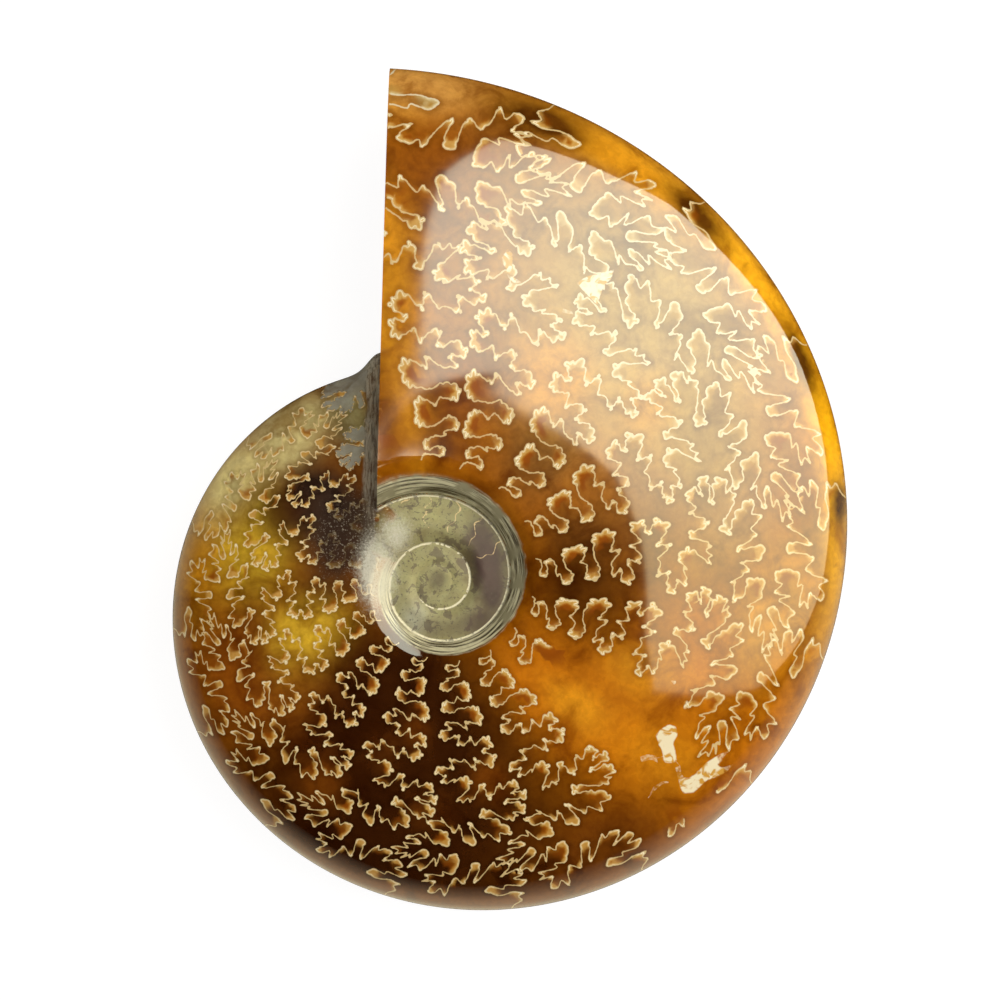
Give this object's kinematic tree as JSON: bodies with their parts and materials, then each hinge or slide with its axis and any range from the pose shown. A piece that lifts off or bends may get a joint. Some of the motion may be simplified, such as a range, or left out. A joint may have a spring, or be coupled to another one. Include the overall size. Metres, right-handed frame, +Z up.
{
  "type": "ammonite fossil",
  "caption": "Polished ammonite fossil with leaf-like suture lines, sawn off straight at its mouth, lying on one flank.",
  "frame": {"origin": "centre of the base of the bounding box, on the surface that the fossil lies on", "axes": "+Z up, through the flank that faces the viewer; +Y along the length, towards the sawn mouth's outer corner; +X across the shell, away from the sawn face"},
  "size_m": [0.0742, 0.0926, 0.0224],
  "materials": {
    "polished_fossil": "polished"
  },
  "bodies": {
    "root": {"ammonite": "polished_fossil"}
  },
  "joints": []
}
